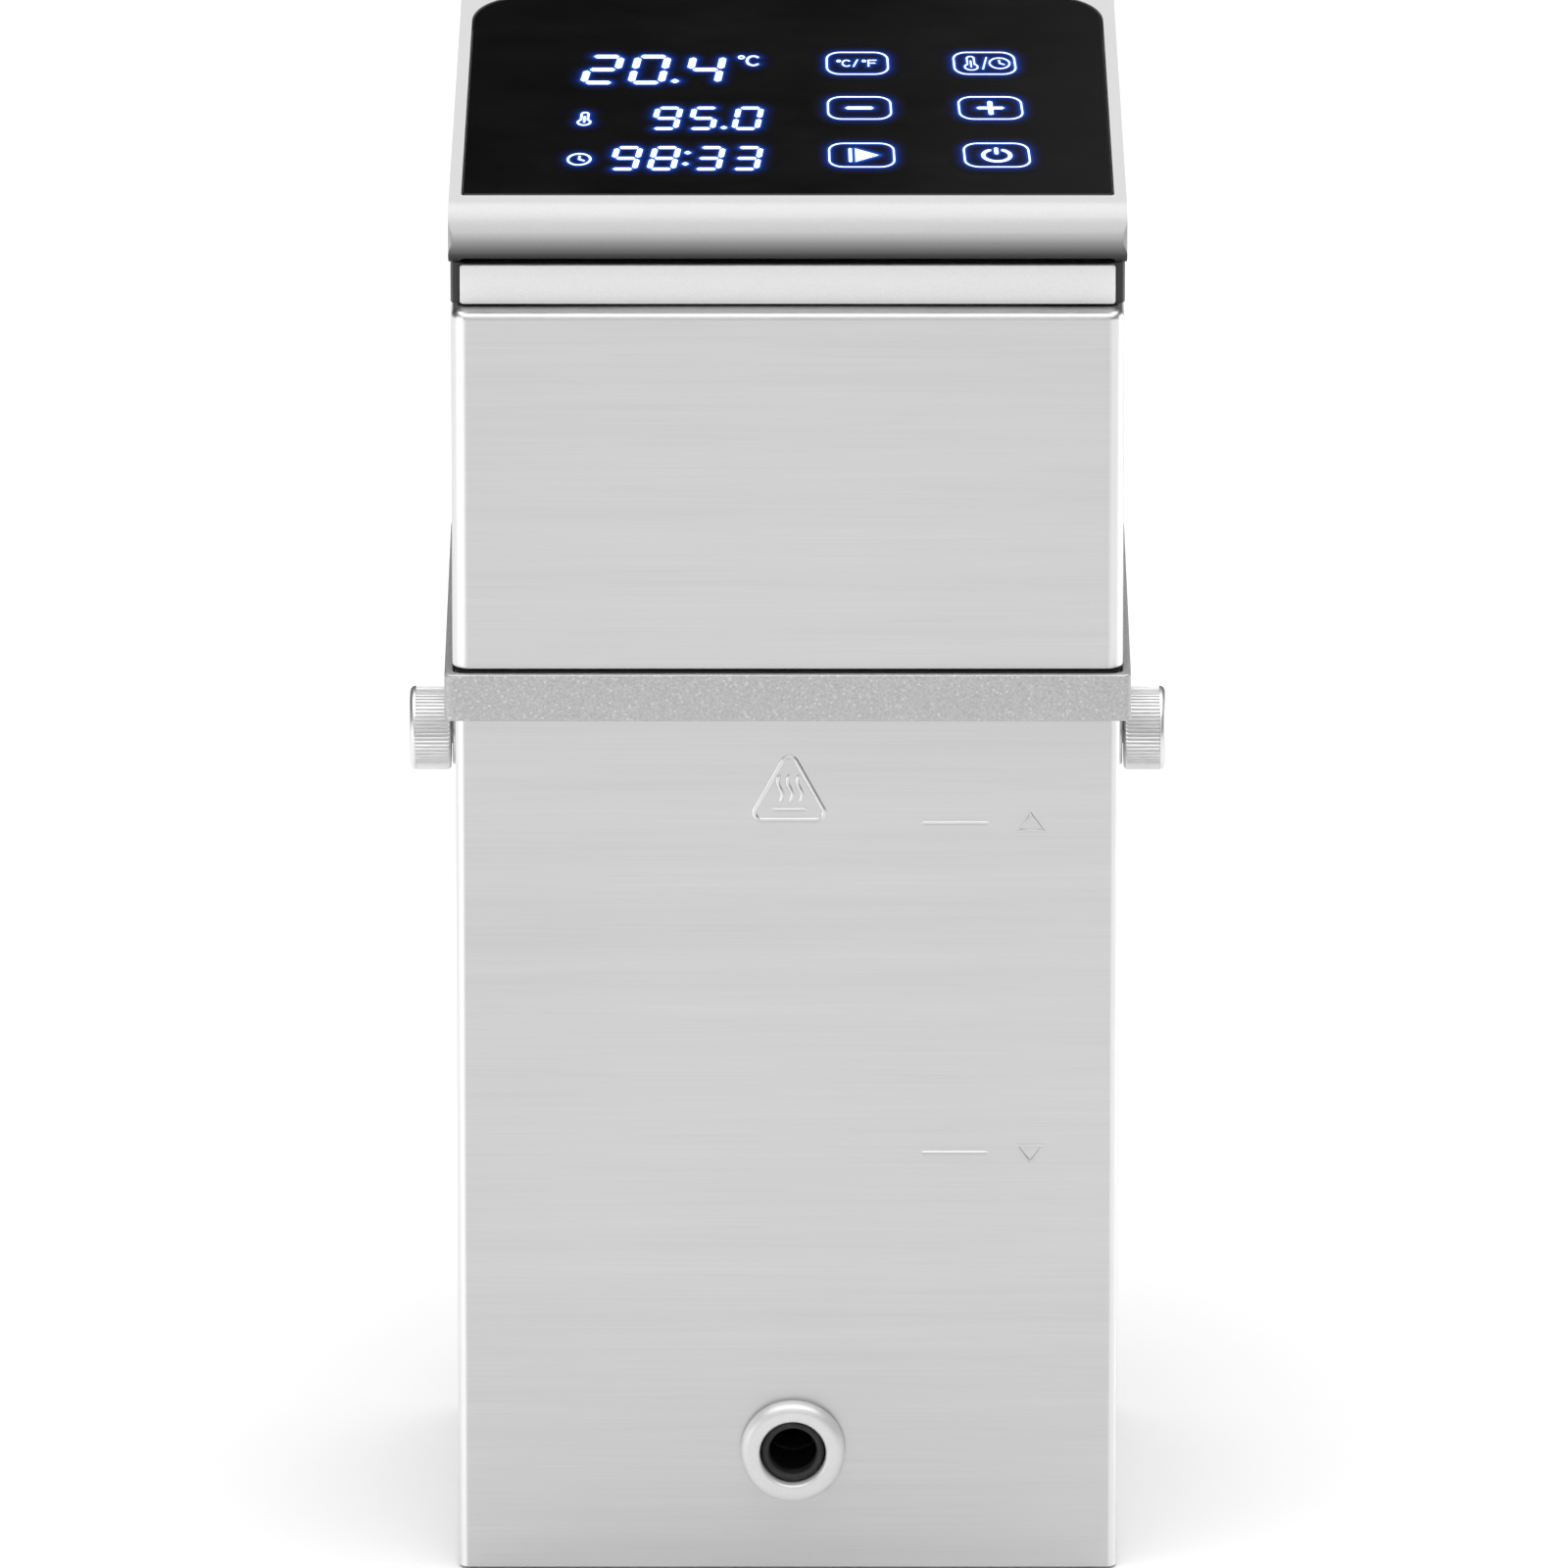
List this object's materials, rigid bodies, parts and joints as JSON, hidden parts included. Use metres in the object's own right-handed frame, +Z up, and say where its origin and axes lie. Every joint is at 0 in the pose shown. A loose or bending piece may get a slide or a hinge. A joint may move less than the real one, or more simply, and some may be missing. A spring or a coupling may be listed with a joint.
{
  "type": "sous vide circulator",
  "caption": "Tall steel immersion water circulator with a sloping glass touch panel, a lift-off sleeve held by thumb screws, a front water outlet and a rear pot clamp.",
  "frame": {"origin": "centre of the bottom face of the base plate", "axes": "+Z up, -Y towards the front with the control panel and the water outlet, +X to the right seen from the front"},
  "size_m": [0.1442, 0.1741, 0.2883],
  "materials": {
    "sleeve_steel": "brushed crossways, satin",
    "housing_steel": "brushed crossways, satin",
    "head_silver": "silver, satin",
    "neck_bright": "bright satin",
    "panel_glass": "black, gloss",
    "cast_alloy": "fine sand-cast grain",
    "deck_alloy": "as cast",
    "knob_alloy": "knurled, satin",
    "outlet_bright": "bright satin",
    "hardware_steel": "turned, satin",
    "pump_steel": "satin",
    "heater_steel": "drawn tube, slightly heat tinted",
    "neck_black": "half gloss",
    "knob_black": "fine grain",
    "socket_black": "fine grain",
    "fan_black": "moulded",
    "soft_black": "matt",
    "brass_parts": "machined",
    "motor_shell": "painted",
    "circuit_board": "solder mask",
    "display_module": "moulded",
    "sink_alloy": "extruded"
  },
  "bodies": {
    "main_unit": {"upper_shell": "housing_steel", "head_cover": "head_silver", "neck_band": "neck_bright", "control_glass": "panel_glass", "collar": "cast_alloy", "clamp_bracket": "cast_alloy", "deck": "deck_alloy", "inlet_screw_left": "hardware_steel", "inlet_screw_right": "hardware_steel", "bracket_bolt_left": "hardware_steel", "bracket_bolt_right": "hardware_steel", "pump_housing": "pump_steel", "pump_lid": "pump_steel", "pump_column": "pump_steel", "temperature_probe": "pump_steel", "level_probe": "pump_steel", "heater_coil": "heater_steel", "neck_frame": "neck_black", "inlet_shell": "socket_black", "fan_frame": "fan_black", "jaw_pad": "soft_black", "deck_gasket": "soft_black", "outlet_duct": "soft_black", "shaft_seal": "soft_black", "pillar_front_left": "brass_parts", "pillar_front_right": "brass_parts", "pillar_rear_left": "brass_parts", "pillar_rear_right": "brass_parts", "stud_nut_left": "brass_parts", "stud_nut_right": "brass_parts", "heater_nut_left": "brass_parts", "heater_nut_right": "brass_parts", "inlet_pin_live": "brass_parts", "inlet_pin_neutral": "brass_parts", "inlet_pin_earth": "brass_parts", "shaft_bush": "brass_parts", "motor_body": "motor_shell", "main_board": "circuit_board", "display_board": "circuit_board", "led_display": "display_module", "transformer": "display_module", "heat_sink": "sink_alloy"},
    "sleeve_unit": {"sleeve": "sleeve_steel", "base_plate": "sleeve_steel", "base_screw_front_left": "hardware_steel", "base_screw_front_right": "hardware_steel", "base_screw_rear_left": "hardware_steel", "base_screw_rear_right": "hardware_steel", "outlet_ring": "outlet_bright", "outlet_liner": "soft_black"},
    "pump_rotor": {"drive_shaft": "pump_steel", "impeller": "fan_black"},
    "fan_wheel": {"fan_rotor": "fan_black"},
    "pad_carriage": {"pressure_pad": "soft_black"},
    "clamp_spindle": {"clamp_screw": "hardware_steel", "clamp_knob": "knob_black"},
    "left_washer": {"thumb_washer_left": "hardware_steel"},
    "left_thumb_screw": {"thumb_knob_left": "knob_alloy"},
    "right_washer": {"thumb_washer_right": "hardware_steel"},
    "right_thumb_screw": {"thumb_knob_right": "knob_alloy"}
  },
  "joints": [
    {"name": "sleeve_slide", "type": "slide", "parent": "main_unit", "child": "sleeve_unit", "axis": [0, 0, -1], "range_m": [0, 0.17]},
    {"name": "pump_spin", "type": "hinge", "parent": "main_unit", "child": "pump_rotor", "pos_m": [0, 0, 0.1], "axis": [0, 0, 1], "continuous": true},
    {"name": "fan_spin", "type": "hinge", "parent": "main_unit", "child": "fan_wheel", "pos_m": [0, 0.0405, 0.2285], "axis": [0, 1, 0], "continuous": true},
    {"name": "clamp_pad_slide", "type": "slide", "parent": "main_unit", "child": "pad_carriage", "axis": [0, -1, 0], "range_m": [0, 0.0175]},
    {"name": "clamp_turn", "type": "hinge", "parent": "pad_carriage", "child": "clamp_spindle", "pos_m": [0, 0.09, 0.1505], "axis": [0, -1, 0], "range_deg": [0, 3150]},
    {"name": "left_thumb_slide", "type": "slide", "parent": "main_unit", "child": "left_washer", "axis": [-1, 0, 0], "range_m": [0, 0.006]},
    {"name": "left_thumb_turn", "type": "hinge", "parent": "left_washer", "child": "left_thumb_screw", "pos_m": [-0.065, 0, 0.1534], "axis": [-1, 0, 0], "range_deg": [0, 2160]},
    {"name": "right_thumb_slide", "type": "slide", "parent": "main_unit", "child": "right_washer", "axis": [1, 0, 0], "range_m": [0, 0.006]},
    {"name": "right_thumb_turn", "type": "hinge", "parent": "right_washer", "child": "right_thumb_screw", "pos_m": [0.065, 0, 0.1534], "axis": [1, 0, 0], "range_deg": [0, 2160]}
  ],
  "couplings": [
    {"joint": "clamp_pad_slide", "follows": "clamp_turn", "m_per_rad": 0.0003183},
    {"joint": "left_thumb_slide", "follows": "left_thumb_turn", "m_per_rad": 0.00015915},
    {"joint": "right_thumb_slide", "follows": "right_thumb_turn", "m_per_rad": 0.00015915}
  ]
}
